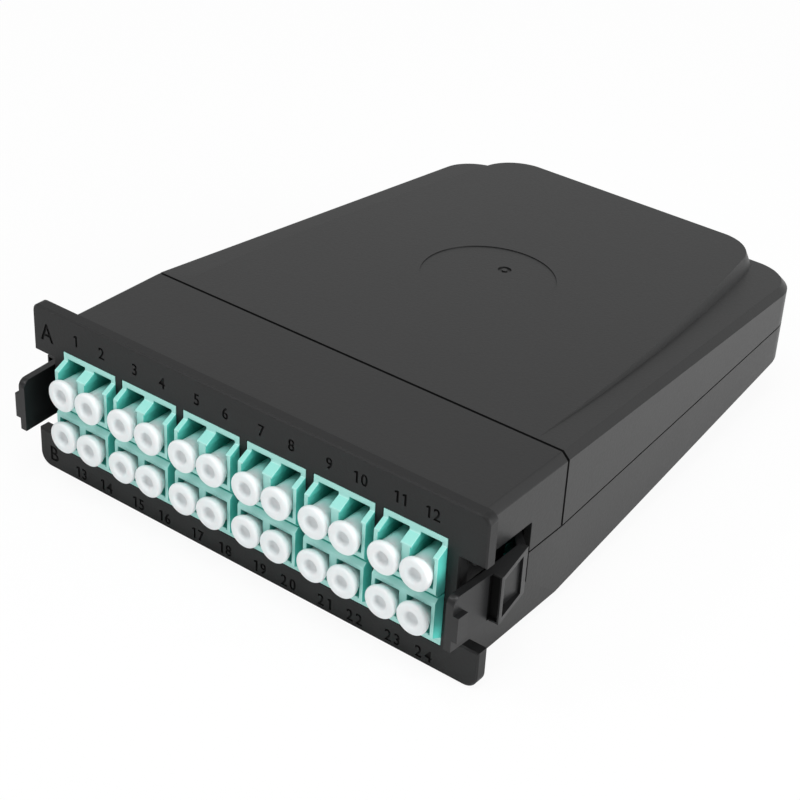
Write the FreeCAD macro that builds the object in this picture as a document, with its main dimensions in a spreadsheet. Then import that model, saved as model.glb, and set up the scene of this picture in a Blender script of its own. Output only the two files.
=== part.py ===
import FreeCAD, Part
import math
import os
import re
import Sketcher

# Fibre cassette: a flat plastic box that clips into a patch panel.  Twelve duplex LC adapters
# stand in two rows in the faceplate, two MPO adapters sit in the rear wall, and the fan-out
# between them lives inside.  Every size is named once below, in millimetres.
#
# The drawing axes: X to the right seen from the front, Y backwards from the faceplate's front
# face, Z up from the split between the two rows of ports.  The last step of each piece is its
# Placement, which moves the whole cassette so that it stands on Z = 0.

doc = FreeCAD.newDocument("FibreCassette")
sizes = doc.addObject("Spreadsheet::Sheet", "Sizes")

NAMED = [
    # ports: the standard sizes that the rest grows from
    ("lc_wide", 12.37, "duplex adapter width"),
    ("mullion", 1.63, "bar of the faceplate between two adapters, with its clearances"),
    ("lc_high", 10.35, "duplex adapter top above the split"),
    ("lc_back", 24.5, "inner end of the adapter"),
    ("lc_nose", 2.2, "how far the port sleeves stand out of the faceplate"),
    ("lc_slope", 1.6, "where the sleeves start to slope, below the adapter's top"),
    ("lc_drop", 2.7, "where the slope ends, below the adapter's top"),
    ("lc_foot", 0.7, "cut at the lower front corner of the sleeves"),
    ("lc_split", 0.15, "adapter underside above the split"),
    ("port_x", 3.125, "port offset from the adapter's middle"),
    ("port_wide", 4.7, "port width"),
    ("port_dn", 1.7, "port floor"),
    ("port_up", 7.3, "port roof"),
    ("key_wide", 4.1, "keyway width"),
    ("key_up", 9.2, "keyway top"),
    ("port_deep", 9.0, "depth of the outer port behind the faceplate"),
    ("port_web", 4.0, "web between the outer and the inner port"),
    ("lc_clear", 0.1, "clearance round each adapter"),
    ("stop_y", 8.0, "front of the rib that holds the adapters"),
    ("stop_thk", 1.6, "rib thickness"),
    ("stop_rise", 1.2, "height of the adapter's stop behind the rib"),
    # housing
    ("cover_wall", 1.4, "cover wall"),
    ("tray_wall", 2.3, "tray wall behind the levers"),
    ("roof", 1.6, "roof and floor thickness"),
    ("side_room", 2.515, "room beside the outer adapters for cheek and lever arm"),
    ("cheek", 1.1, "inner wall beside the outer adapters"),
    ("roof_room", 3.75, "housing top above the adapters"),
    ("floor_room", 4.45, "housing underside below the adapters"),
    ("taper_side", 5.1, "how much each side comes in towards the rear"),
    ("fall_top", 6.25, "how much the side shelf falls to the rear"),
    ("fall_low", 6.15, "how much the underside rises to the rear"),
    ("rear_y", 118.4, "outer face of the rear wall"),
    ("seam_y", 26.85, "rear edge of the front cover"),
    ("seam_gap", 0.3, "gap between the moulded shells"),
    ("split_gap", 0.15, "half of the gap at the level parting line"),
    ("bevel", 1.3, "bevel along the long edges"),
    ("corner_r", 9.5, "upright rear corner radius"),
    ("lip_rise", 1.0, "height of the tray's inner lip above the split"),
    ("tongue", 1.0, "thickness of the tongue under the seam"),
    ("tongue_root", 2.2, "start of the tongue in front of the seam"),
    ("tongue_step", 0.4, "where the tongue leaves the roof, in front of the seam"),
    ("tongue_over", 2.6, "how far the tongue reaches behind the seam"),
    ("tongue_drop", 0.5, "clearance of the tongue under the roof"),
    # raised field on the roof and under the floor
    ("shelf_start", 6.5, "width of the side shelf at the seam"),
    ("shelf_end", 11.0, "width of the side shelf where the field's corner starts"),
    ("field_end_y", 111.0, "where the raised field's corner starts"),
    ("field_bow", 556.0, "radius of the field's bowed side"),
    ("field_corner", 6.6, "width of the field's rear corner"),
    ("field_set", 1.5, "how far inside the rear wall the field's plan ends"),
    ("fall_field", 3.4, "how much the field falls to the rear"),
    ("field_draft", 24.0, "slope of the field's flank, degrees"),
    # faceplate
    ("face_side", 3.35, "how far the faceplate stands proud at the sides"),
    ("face_over", 3.3, "how far it stands proud above the housing"),
    ("face_under", 0.9, "how far it stands proud below the housing"),
    ("face_thk", 2.2, "faceplate thickness"),
    ("notch_up", 8.0, "notch top"),
    ("notch_dn", 8.2, "notch bottom"),
    ("lip_in", 3.0, "ends of the lips inside the side notches"),
    ("lip_thk", 1.0, "thickness of the lips that locate the housing"),
    ("lip_gap", 0.1, "clearance between lip and housing"),
    ("lip_long", 3.0, "length of the lips behind the faceplate"),
    ("face_edge", 0.3, "bevel of the faceplate's front rim"),
    ("ear_up", 1.6, "upper corner radius"),
    ("ear_dn", 2.6, "lower corner radius"),
    # dust caps
    ("cap_z", 4.26, "cap centre above the split"),
    ("cap_head", 2.975, "cap head radius"),
    ("cap_stem", 2.2, "cap stem radius"),
    ("cap_front", 4.2, "how far the cap's face stands out"),
    ("cap_lip", 1.1, "cap head thickness"),
    ("cap_deep", 6.0, "inner end of the cap stem"),
    ("cap_bore", 1.3, "radius of the dimple in the cap's face"),
    ("cap_dimple", 0.9, "depth of the dimple"),
    # latch levers
    ("lever_front", 5.6, "front end of the levers"),
    ("lever_gap", 0.4, "lever's inner face outside the housing's side"),
    ("lever_thk", 1.35, "lever thickness"),
    ("lever_flare", 0.55, "how much further out the lever sits at the catch"),
    ("lever_up", 4.9, "lever top"),
    ("lever_dn", 5.2, "lever bottom"),
    ("lever_round", 1.5, "rounding of the lever's upper front corner"),
    ("grip_rise", 1.05, "height of the finger ridge"),
    ("grip_long", 2.4, "width of the finger ridge"),
    ("grip_up", 1.8, "top of the finger ridge"),
    ("grip_dn", 3.0, "bottom of the finger ridge"),
    ("catch_y", 3.6, "locking face of the catch"),
    ("catch_reach", 4.1, "outermost point of the catch, outside the housing's side"),
    ("catch_flat", 0.6, "flat strip before the catch's ramp"),
    ("catch_end", 13.0, "rear end of the catch ramp"),
    ("catch_root", 2.5, "outer face at the end of the ramp, outside the housing's side"),
    ("catch_dn", 4.2, "catch bottom"),
    ("catch_rim", 0.9, "rim round the pocket in the catch"),
    ("arm_thk", 1.2, "thickness of the lever's inner arm"),
    ("window_y", 17.5, "rear edge of the side window"),
    ("window_z", 5.8, "half height of the side window"),
    ("hinge_set", 3.4, "lever hinge inside the housing's side"),
    ("hinge_y", 29.5, "lever hinge, back"),
    ("hinge_r", 1.7, "hinge barrel radius"),
    ("hinge_clear", 0.15, "clearance between the barrel and the tray wall"),
    ("hinge_bore", 0.9, "hinge bore radius"),
    ("hinge_pin", 0.6, "hinge pin radius"),
    # rear adapters and their caps
    ("mpo_x", 14.0, "rear adapter offset"),
    ("mpo_half", 6.4, "rear adapter half width"),
    ("mpo_high", 4.7, "rear adapter half height"),
    ("mpo_in", 14.4, "rear adapter's inner end, inside the rear wall's face"),
    ("mpo_out", 6.6, "rear adapter's outer end, outside the rear wall's face"),
    ("mouth_half", 4.9, "rear port half width"),
    ("mouth_dn", 3.4, "rear port floor"),
    ("mouth_up", 3.0, "rear port roof"),
    ("mouth_deep", 10.0, "rear port depth"),
    ("slot_half", 1.6, "half width of the rear port's keyway"),
    ("slot_rise", 0.8, "height of the rear port's keyway"),
    ("flange_side", 1.7, "outer flange beyond the rear adapter's sides"),
    ("flange_rise", 0.9, "outer flange beyond its top and bottom"),
    ("flange_thk", 1.25, "outer flange thickness"),
    ("clip_side", 1.3, "inner clip beyond the rear adapter's sides"),
    ("clip_half", 3.0, "inner clip half height"),
    ("clip_thk", 1.1, "inner clip thickness"),
    ("mpo_cap", 2.7, "rear cap grip thickness"),
    ("mpo_grip", 0.8, "rear cap grip inside the adapter's outline"),
    ("mpo_plug", 8.0, "length of the rear cap's plug"),
    ("plug_clear", 0.15, "clearance of the plug in the rear port"),
    # screws and bosses
    ("boss_r", 2.6, "screw boss radius"),
    ("boss_set1", 6.9, "front boss inside the housing's side"),
    ("boss_y1", 38.5, "front boss, back"),
    ("boss_set2", 6.6, "rear boss inside the rear half width"),
    ("boss_y2", 102.5, "rear boss, back"),
    ("screw_r", 1.0, "screw shank radius"),
    ("screw_head", 1.95, "screw head radius"),
    ("screw_cap", 1.5, "screw head height"),
    ("screw_grip", 5.0, "length of thread above the split"),
    ("screw_seat", 7.4, "level of the screw seats below the split"),
    ("screw_clear", 0.15, "clearance round the screws"),
    ("spool_x", 17.5, "fibre spool, across"),
    ("spool_y", 66.0, "fibre spool, back"),
    ("spool_r", 11.5, "fibre spool radius"),
    ("spool_wall", 1.2, "fibre spool wall"),
    ("spool_up", 2.5, "fibre spool top above the split"),
]

# Sizes that follow from the named ones.
DERIVED = [
    ("pitch", "lc_wide + mullion"),
    ("house_half", "2.5 * pitch + lc_wide / 2 + side_room + cover_wall"),
    ("notch_in", "house_half - cover_wall"),
    ("house_top", "lc_high + roof_room"),
    ("house_low", "lc_high + floor_room"),
    ("rear_half", "house_half - taper_side"),
    ("rear_top", "house_top - fall_top"),
    ("rear_low", "house_low - fall_low"),
    ("field_start", "house_half - shelf_start"),
    ("field_end", "rear_half - shelf_end"),
    ("field_rear", "house_top - fall_field"),
    ("field_low", "house_low - fall_field"),
    ("face_half", "house_half + face_side"),
    ("face_top", "house_top + face_over"),
    ("face_low", "house_low + face_under"),
    ("lever_in", "house_half + lever_gap"),
    ("catch_tip", "house_half + catch_reach"),
    ("catch_out", "house_half + catch_root"),
    ("hinge_x", "house_half - hinge_set"),
    ("mpo_inner", "rear_y - mpo_in"),
    ("mpo_outer", "rear_y + mpo_out"),
    ("boss_x1", "house_half - boss_set1"),
    ("boss_x2", "rear_half - boss_set2"),
]

V = {}
for row, (alias, value, note) in enumerate(NAMED, 1):
    sizes.set("A%d" % row, note)
    sizes.set("B%d" % row, str(value))
    sizes.setAlias("B%d" % row, alias)
    V[alias] = value
for row, (alias, formula) in enumerate(DERIVED, len(NAMED) + 1):
    sizes.set("A%d" % row, "follows: " + formula)
    sizes.set("B%d" % row, "=" + formula)
    sizes.setAlias("B%d" % row, alias)
doc.recompute()
for alias, formula in DERIVED:
    V[alias] = float(sizes.get(alias))

WORD = re.compile(r"[a-z][a-z_0-9]*")
FUNCTIONS = ("tan", "sin", "cos", "sqrt")


def bound(text):
    """Turn 'house_half - cover_wall' into an expression on the sheet of sizes."""
    def named(found):
        word = found.group(0)
        if word in FUNCTIONS:
            return word
        if word not in V:
            raise ValueError("no size is called " + word)
        return "Sizes." + word
    return WORD.sub(named, str(text))


# The cassette stands on the faceplate's lower edge, centred in its overall length.
SHIFT_Y = "(lever_front - mpo_outer - mpo_cap - lc_clear) / 2"
SHIFT_Z = "face_low"

SIDES = {"X": ("YZ_Plane", 1), "Y": ("XZ_Plane", -1), "Z": ("XY_Plane", 1)}
made = []


def body(name, across="0", back="0", turn=None):
    """A body with its own placement in the standing cassette."""
    piece = doc.addObject("PartDesign::Body", name)
    piece.Label = name
    if turn is not None:
        piece.Placement = FreeCAD.Placement(FreeCAD.Vector(0, 0, 0), turn)
    piece.setExpression("Placement.Base.x", bound(across))
    piece.setExpression("Placement.Base.y", bound(back + " + " + SHIFT_Y))
    piece.setExpression("Placement.Base.z", bound(SHIFT_Z))
    made.append(piece)
    return piece


def sheet(piece, name, axis, level):
    """A sketch square to the axis at the given level."""
    role, sign = SIDES[axis]
    plane = [f for f in piece.Origin.OriginFeatures if f.Role == role][0]
    drawn = piece.newObject("Sketcher::SketchObject", name)
    drawn.AttachmentSupport = [(plane, "")]
    drawn.MapMode = "FlatFace"
    side = "" if sign > 0 else "-"
    drawn.setExpression("AttachmentOffset.Base.z", side + "(" + bound(level) + ")")
    return drawn


def hold(drawn, kind, line, end, text):
    """One dimension of a sketch, driven by the sheet of sizes.  It starts from what the
    drawn line already measures, so the solver never has to jump."""
    if kind == "Radius":
        limit = Sketcher.Constraint(kind, line, drawn.Geometry[line].Radius)
    elif kind == "DistanceX":
        limit = Sketcher.Constraint(kind, -1, 1, line, end, drawn.getPoint(line, end).x)
    else:
        limit = Sketcher.Constraint(kind, -1, 1, line, end, drawn.getPoint(line, end).y)
    row = drawn.addConstraint(limit)
    drawn.setExpression("Constraints[%d]" % row, bound(text))


def outline(drawn, points):
    """A closed outline; each corner is held by its two distances from the origin."""
    first = drawn.GeometryCount
    count = len(points)
    for i in range(count):
        a = -2 * math.pi * i / count
        b = -2 * math.pi * (i + 1) / count
        drawn.addGeometry(Part.LineSegment(
            FreeCAD.Vector(9 * math.cos(a), 9 * math.sin(a), 0),
            FreeCAD.Vector(9 * math.cos(b), 9 * math.sin(b), 0)))
    for i in range(count):
        drawn.addConstraint(Sketcher.Constraint(
            "Coincident", first + i, 2, first + (i + 1) % count, 1))
    for i, (u, v) in enumerate(points):
        hold(drawn, "DistanceX", first + i, 1, u)
        hold(drawn, "DistanceY", first + i, 1, v)


def rect(u0, u1, v0, v1):
    return [(u0, v0), (u1, v0), (u1, v1), (u0, v1)]


def through(piece, name, axis, drawn_at, depth, cut):
    """Pad or pocket the newest sketch of the piece."""
    kind = "PartDesign::Pocket" if cut else "PartDesign::Pad"
    made_one = piece.newObject(kind, name)
    made_one.Profile = drawn_at
    made_one.setExpression("Length", bound(depth))
    return made_one


def level_of(axis, low, high, cut):
    """Pads grow along the plane's normal and pockets against it."""
    up = SIDES[axis][1] > 0
    return low if up != cut else high


def prism(piece, name, axis, points, low, high, cut=False):
    """Straight block (or cut) with the given outlines between two levels."""
    drawn = sheet(piece, name + "_sketch", axis, level_of(axis, low, high, cut))
    loops = points if isinstance(points[0], list) else [points]
    for loop in loops:
        outline(drawn, loop)
    return through(piece, name, axis, drawn, "(%s) - (%s)" % (high, low), cut)


def rounds(piece, name, axis, centres, radius, low, high, cut=False):
    """Round posts or holes, all in one sketch."""
    drawn = sheet(piece, name + "_sketch", axis, level_of(axis, low, high, cut))
    for i, (u, v) in enumerate(centres):
        drawn.addGeometry(Part.Circle(FreeCAD.Vector(20 * i - 30, 5, 0), FreeCAD.Vector(0, 0, 1), 1))
        hold(drawn, "DistanceX", i, 3, u)
        hold(drawn, "DistanceY", i, 3, v)
        hold(drawn, "Radius", i, 0, radius)
    return through(piece, name, axis, drawn, "(%s) - (%s)" % (high, low), cut)


def taper(piece, name, near, near_y, far, far_y, cut=False):
    """A block (or cut) running backwards from one outline to another."""
    first = sheet(piece, name + "_near", "Y", near_y)
    outline(first, near)
    second = sheet(piece, name + "_far", "Y", far_y)
    outline(second, far)
    kind = "PartDesign::SubtractiveLoft" if cut else "PartDesign::AdditiveLoft"
    run = piece.newObject(kind, name)
    run.Profile = first
    run.Sections = [second]
    run.Ruled = True
    return run


def edges(feature, test):
    """Names of the edges whose two ends and middle pass the test."""
    doc.recompute()
    found = []
    for i, edge in enumerate(feature.Shape.Edges, 1):
        if len(edge.Vertexes) < 2:
            continue
        a = edge.Vertexes[0].Point
        b = edge.Vertexes[-1].Point
        m = edge.valueAt((edge.FirstParameter + edge.LastParameter) / 2)
        if test(a, b, m):
            found.append("Edge%d" % i)
    if not found:
        raise ValueError("no edges of %s pass the test" % feature.Name)
    return found


def soften(piece, name, feature, test, radius, kind="Fillet"):
    """Round or bevel the edges that pass the test."""
    done = piece.newObject("PartDesign::" + kind, name)
    done.Base = (feature, edges(feature, test))
    done.setExpression("Radius" if kind == "Fillet" else "Size", bound(radius))
    return done


def near(a, b, slack=0.05):
    return abs(a - b) < slack


def upright(a, b):
    return near(a.x, b.x, 0.3) and near(a.y, b.y, 0.3) and abs(a.z - b.z) > 1


# ---------------------------------------------------------------- faceplate
# A flat bezel with a notch each side for the levers and one opening per column of ports.
plate = body("faceplate")
half_face = [("0", "face_top"), ("face_half", "face_top"), ("face_half", "notch_up"),
             ("notch_in", "notch_up"), ("notch_in", "-notch_dn"), ("face_half", "-notch_dn"),
             ("face_half", "-face_low"), ("0", "-face_low")]
other_half = [("-(%s)" % u, v) for u, v in reversed(half_face[1:-1])]
slab = prism(plate, "slab", "Y", half_face + other_half, "0", "face_thk")
window = rect("-lc_wide / 2 - lc_clear", "lc_wide / 2 + lc_clear",
              "-lc_high - lc_clear", "lc_high + lc_clear")
columns = ["(%.1f) * pitch" % (i - 2.5) for i in range(6)]
openings = [[("%s + %s" % (c, u), v) for u, v in window] for c in columns]
slab = prism(plate, "columns", "Y", openings, "-1", "face_thk + 1", cut=True)
lips = [rect("-notch_in + lip_in", "notch_in - lip_in", "house_top - roof - lip_gap - lip_thk",
             "house_top - roof - lip_gap"),
        rect("-notch_in + lip_in", "notch_in - lip_in", "-house_low + roof + lip_gap",
             "-house_low + roof + lip_gap + lip_thk")]
slab = prism(plate, "lips", "Y", lips, "face_thk / 2", "face_thk + lip_long")


def face_corner(level):
    def test(a, b, m):
        at = near(abs(m.x), V["face_half"]) and near(m.z, level)
        return at and near(a.x, b.x) and near(a.z, b.z)
    return test


slab = soften(plate, "upper_corners", slab, face_corner(V["face_top"]), "ear_up")
slab = soften(plate, "lower_corners", slab, face_corner(-V["face_low"]), "ear_dn")


def front_rim(a, b, m):
    rim = near(a.y, 0) and near(b.y, 0)
    inside = abs(m.x) < V["notch_in"] - 0.5 and abs(m.z) < V["lc_high"] + 1
    return rim and not inside


slab = soften(plate, "front_rim", slab, front_rim, "face_edge", "Chamfer")


# ---------------------------------------------------------------- the tapered shells
START = "seam_y + seam_gap"


def half_at(back, wall="0"):
    """Housing half width at a distance back, less a wall."""
    fall = "(house_half - rear_half) * (%s - seam_y) / (rear_y - seam_y)" % back
    return "(house_half - %s - (%s))" % (fall, wall)


def level_at(sign, back, inset="0"):
    """Height of the shelf (or of the floor, downwards) at a distance back."""
    top, end = ("house_top", "rear_top") if sign > 0 else ("house_low", "rear_low")
    fall = "(%s - %s) * (%s - seam_y) / (rear_y - seam_y)" % (top, end, back)
    mark = "" if sign > 0 else "-"
    return "%s(%s - %s - (%s))" % (mark, top, fall, inset)


def bow(p, q, radius, out=1):
    """An arc from p to q with the given radius, bulging to the outside."""
    chord = q.sub(p)
    mid = p.add(q).multiply(0.5)
    side = FreeCAD.Vector(chord.y, -chord.x, 0).normalize().multiply(out)
    rise = radius - math.sqrt(radius * radius - chord.Length * chord.Length / 4)
    return Part.Arc(p, mid.add(side.multiply(rise)), q)


def raised_field(piece, sign, top, end):
    """The raised field: bowed sides, rounded rear corners and a sloping flank.  It is drawn
    level with the roof at the seam and grows wider towards the shelf beside it."""
    mark = "" if sign > 0 else "-"
    drawn = sheet(piece, "field_plan", "Z", mark + top)
    start_y = "seam_y + seam_gap"
    rear_y = "rear_y - field_set"
    half0 = "field_start"
    half1 = "field_end"
    half2 = "field_end - field_corner"
    P = FreeCAD.Vector
    x0, y0 = V["field_start"], V["seam_y"] + V["seam_gap"]
    x1, y1 = V["field_end"], V["field_end_y"]
    x2, y2 = V["field_end"] - V["field_corner"], V["rear_y"] - V["field_set"]
    a, b, c = P(x0, y0, 0), P(x1, y1, 0), P(x2, y2, 0)
    d, e, f = P(-x2, y2, 0), P(-x1, y1, 0), P(-x0, y0, 0)
    drawn.addGeometry(bow(a, b, V["field_bow"]))
    drawn.addGeometry(bow(b, c, V["field_corner"] * 1.08))
    drawn.addGeometry(Part.LineSegment(c, d))
    drawn.addGeometry(bow(d, e, V["field_corner"] * 1.08))
    drawn.addGeometry(bow(e, f, V["field_bow"]))
    drawn.addGeometry(Part.LineSegment(f, a))
    ends = []
    for i, (p, q) in enumerate([(a, b), (b, c), (c, d), (d, e), (e, f), (f, a)]):
        if i in (2, 5):
            ends.append((1, 2))
        else:
            start = drawn.getPoint(i, 1)
            ends.append((1, 2) if start.distanceToPoint(p) < 0.01 else (2, 1))
    for i in range(6):
        j = (i + 1) % 6
        drawn.addConstraint(Sketcher.Constraint("Coincident", i, ends[i][1], j, ends[j][0]))
    spots = [(half0, start_y), (half1, "field_end_y"), (half2, rear_y),
             ("-(%s)" % half2, rear_y), ("-(%s)" % half1, "field_end_y"), ("-(%s)" % half0, start_y)]
    for i, (u, v) in enumerate(spots):
        hold(drawn, "DistanceX", i, ends[i][0], u)
        hold(drawn, "DistanceY", i, ends[i][0], v)
    hold(drawn, "Radius", 0, 0, "field_bow")
    hold(drawn, "Radius", 4, 0, "field_bow")
    hold(drawn, "Radius", 1, 0, "field_corner * 1.08")
    hold(drawn, "Radius", 3, 0, "field_corner * 1.08")
    block = piece.newObject("PartDesign::Pad", "field")
    block.Profile = drawn
    block.setExpression("Length", bound("%s - %s + 0.5" % (top, end)))
    block.setExpression("TaperAngle", bound("field_draft"))
    block.Reversed = sign > 0
    return block


def trim_field(piece, sign, top, rise):
    """Cut the field off along its own falling plane."""
    mark = "" if sign > 0 else "-"
    above = [("seam_y - 3", mark + "(%s)" % top),
             ("seam_y", mark + "(%s)" % top),
             ("rear_y", mark + "(%s)" % rise),
             ("rear_y + 3", mark + "(%s)" % rise),
             ("rear_y + 3", mark + "(%s + 6)" % top),
             ("seam_y - 3", mark + "(%s + 6)" % top)]
    prism(piece, "fall", "X", above, "-house_half - 1", "house_half + 1", cut=True)
    ends = rect("-house_half", "house_half", mark + "1", mark + "(%s + 1)" % top)
    prism(piece, "before", "Y", ends, START + " - 9", START, cut=True)
    return prism(piece, "behind", "Y", ends, "rear_y", "rear_y + 9", cut=True)


def rear_upright(a, b, m):
    return upright(a, b) and m.y > V["rear_y"] - 0.5 and abs(m.x) > V["rear_half"] - 0.5


def tapered_skin(piece, sign):
    """One half of the housing behind the seam: the plan with its rounded rear corners is
    padded up, then a falling plane cuts the shelf."""
    top, end = ("house_top", "rear_top") if sign > 0 else ("house_low", "rear_low")
    mark = "" if sign > 0 else "-"
    plan = [("-house_half", START), ("house_half", START),
            ("rear_half", "rear_y"), ("-rear_half", "rear_y")]
    levels = ("split_gap", top) if sign > 0 else ("-" + top, "-split_gap")
    step = prism(piece, "plan", "Z", plan, *levels)
    soften(piece, "rear_corners", step, rear_upright, "corner_r")
    shelf = [(START, mark + top), ("rear_y + 1", level_at(sign, "(rear_y + 1)")),
             ("rear_y + 1", mark + "(%s + 1)" % top), (START, mark + "(%s + 1)" % top)]
    return prism(piece, "shelf", "X", shelf, "-house_half - 1", "house_half + 1", cut=True)


def rim_of(sign, top, end):
    """The shelf's outer edge: down both sides and round the rear corners."""
    def test(a, b, m):
        for p in (a, b, m):
            along = (p.y - V["seam_y"]) / (V["rear_y"] - V["seam_y"])
            level = sign * (V[top] + (V[end] - V[top]) * along)
            if abs(p.z - level) > 0.12:
                return False
        front = near(a.y, b.y, 0.1) and a.y < V["seam_y"] + 2
        return not front
    return test


def inside(wall, start):
    """Plan inside the tapered walls, with cut-off rear corners that keep clear of the
    rounded outside."""
    turn = "(rear_y - corner_r)"
    stop = "rear_y - (%s)" % wall
    last = "(%s - corner_r + %s)" % (half_at(turn, wall), wall)
    right = [(half_at(start, wall), start), (half_at(turn, wall), turn), (last, stop)]
    return right + [("-" + u, v) for u, v in reversed(right)]


def falling_room(piece, name, sign, start, stop, half, fall):
    """A wedge of room under the falling roof (or over the floor), straight across."""
    mark = "" if sign > 0 else "-"
    top, end = ("house_top", "rear_top") if sign > 0 else ("house_low", "rear_low")
    line = [mark + "(%s - %s * (%s - seam_y) / (rear_y - seam_y) - roof)" % (top, fall, y)
            for y in (start, stop)]
    low = mark + "(%s - roof - 0.5)" % end
    profile = [(start, low), (start, line[0]), (stop, line[1]), (stop, low)]
    return prism(piece, name, "X", profile, "-(%s)" % half, half, cut=True)


BOSSES = [("boss_x1", "boss_y1"), ("-boss_x1", "boss_y1"), ("boss_x2", "boss_y2"), ("-boss_x2", "boss_y2")]
PORTHOLES = [rect("%s - mpo_half - 0.1" % c, "%s + mpo_half + 0.1" % c,
                  "-mpo_high - 0.1", "mpo_high + 0.1") for c in ("-mpo_x", "mpo_x")]

# ---------------------------------------------------------------- rear cover
lid = body("rear_cover")
step = tapered_skin(lid, 1)
step = soften(lid, "rim", step, rim_of(1, "house_top", "rear_top"), "bevel", "Chamfer")
step = raised_field(lid, 1, "house_top", "rear_top")
step = trim_field(lid, 1, "house_top", "field_rear")
prism(lid, "room", "Z", inside("cover_wall", START), "-1", "rear_top - roof", cut=True)
falling_room(lid, "shelf_room", 1, START, "rear_y - corner_r", "rear_half - cover_wall - 2.4", "fall_top")
falling_room(lid, "field_room", 1, START, "rear_y - 4", "field_end - 4.5", "fall_field")
step = rounds(lid, "front_bosses", "Z", BOSSES[:2], "boss_r", "split_gap + 0.1", "house_top - roof + 0.4")
step = rounds(lid, "rear_bosses", "Z", BOSSES[2:], "boss_r", "split_gap + 0.1", "rear_top")
step = rounds(lid, "pilots", "Z", BOSSES, "screw_r + 0.05", "0", "screw_grip + 0.4", cut=True)
step = prism(lid, "portholes", "Y", PORTHOLES, "rear_y - 8", "rear_y + 1", cut=True)

# ---------------------------------------------------------------- front cover
cover = body("front_cover")
section = [("-house_half", "split_gap"), ("house_half", "split_gap"),
           ("house_half", "house_top - bevel"), ("house_half - bevel", "house_top"),
           ("-house_half + bevel", "house_top"), ("-house_half", "house_top - bevel")]
prism(cover, "skin", "Y", section, "face_thk", "seam_y")
prism(cover, "room", "Y",
      rect("-house_half + cover_wall", "house_half - cover_wall", "-1", "house_top - roof"),
      "face_thk - 1", "seam_y + 1", cut=True)
prism(cover, "adapter_rib", "Y",
      rect("-house_half + 1", "house_half - 1", "lc_high + lc_clear", "house_top - roof + 0.2"),
      "stop_y", "stop_y + stop_thk")
under = "house_top - roof - tongue_drop"
tongue = [("seam_y - tongue_root", "house_top - roof + 0.2"),
          ("seam_y - tongue_step", "house_top - roof + 0.2"),
          ("seam_y - tongue_step", under), ("seam_y + tongue_over", under),
          ("seam_y + tongue_over", under + " - tongue"),
          ("seam_y - tongue_root", under + " - tongue")]
prism(cover, "tongue", "X", tongue, "-field_start + 4", "field_start - 4")
CHEEK = "(notch_in - side_room + 0.15)"
prism(cover, "windows", "X", rect("face_thk - 1", "window_y", "-1", "window_z"),
      "-house_half - 1", "house_half + 1", cut=True)
cheeks = [rect(CHEEK, CHEEK + " + cheek", "split_gap", "house_top - roof + 0.2"),
          rect("-%s - cheek" % CHEEK, "-" + CHEEK, "split_gap", "house_top - roof + 0.2")]
prism(cover, "cheeks", "Y", cheeks, "face_thk", "window_y - 3")

# ---------------------------------------------------------------- base tray
tray = body("base_tray")
step = tapered_skin(tray, -1)
step = soften(tray, "rim", step, rim_of(-1, "house_low", "rear_low"), "bevel", "Chamfer")
step = raised_field(tray, -1, "house_low", "rear_low")
step = trim_field(tray, -1, "house_low", "field_low")
fore = [("-house_half", "-house_low + bevel"), ("-house_half + bevel", "-house_low"),
        ("house_half - bevel", "-house_low"), ("house_half", "-house_low + bevel"),
        ("house_half", "-split_gap"), ("-house_half", "-split_gap")]
step = prism(tray, "fore", "Y", fore, "face_thk", START)
WIDE_ROOM = "(boss_y1 - 5)"
prism(tray, "lip", "Z", inside("(cover_wall + 0.1)", WIDE_ROOM), "-3", "lip_rise")
prism(tray, "room", "Z", inside("tray_wall", WIDE_ROOM), "-rear_low + roof", "lip_rise + 1", cut=True)
prism(tray, "front_room", "Y",
      rect("-house_half + cover_wall", "house_half - cover_wall", "-house_low + roof", "3"),
      "face_thk - 1", "seam_y", cut=True)
lever_half = "(hinge_x + hinge_r + hinge_clear)"
prism(tray, "lever_room", "Y",
      rect("-" + lever_half, lever_half, level_at(-1, WIDE_ROOM, "roof"), "3"),
      "seam_y - 1", WIDE_ROOM + " + 0.01", cut=True)
falling_room(tray, "shelf_room", -1, WIDE_ROOM, "rear_y - corner_r", "rear_half - tray_wall - 1.5",
             "fall_low")
falling_room(tray, "field_room", -1, WIDE_ROOM, "rear_y - 4", "field_end - 4.5", "fall_field")
prism(tray, "adapter_rib", "Y",
      rect("-house_half + 1", "house_half - 1", "-house_low + roof - 0.2", "-lc_high - lc_clear"),
      "stop_y", "stop_y + stop_thk")
prism(tray, "windows", "X", rect("face_thk - 1", "window_y", "-window_z", "1"),
      "-house_half - 1", "house_half + 1", cut=True)
cheeks = [rect(CHEEK, CHEEK + " + cheek", "-house_low + roof - 0.2", "-split_gap"),
          rect("-%s - cheek" % CHEEK, "-" + CHEEK, "-house_low + roof - 0.2", "-split_gap")]
prism(tray, "cheeks", "Y", cheeks, "face_thk", "window_y - 3")
rounds(tray, "front_posts", "Z", BOSSES[:2], "boss_r", "-house_low + roof - 0.4", "0")
rounds(tray, "rear_posts", "Z", BOSSES[2:], "boss_r", "-rear_low", "0")
rounds(tray, "shank_holes", "Z", BOSSES, "screw_r + screw_clear", "-house_low - 1", "1", cut=True)
rounds(tray, "head_bores", "Z", BOSSES, "screw_head + screw_clear", "-house_low - 1", "-screw_seat",
       cut=True)
HINGES = [("hinge_x", "hinge_y"), ("-hinge_x", "hinge_y")]
rounds(tray, "hinge_posts", "Z", HINGES, "hinge_r", "-house_low + roof - 0.4", "-lever_up + 0.3")
rounds(tray, "hinge_pins", "Z", HINGES, "hinge_pin", "-house_low + roof", "lever_up - 0.3")
SPOOLS = [("-spool_x", "spool_y"), ("spool_x", "spool_y")]
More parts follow.
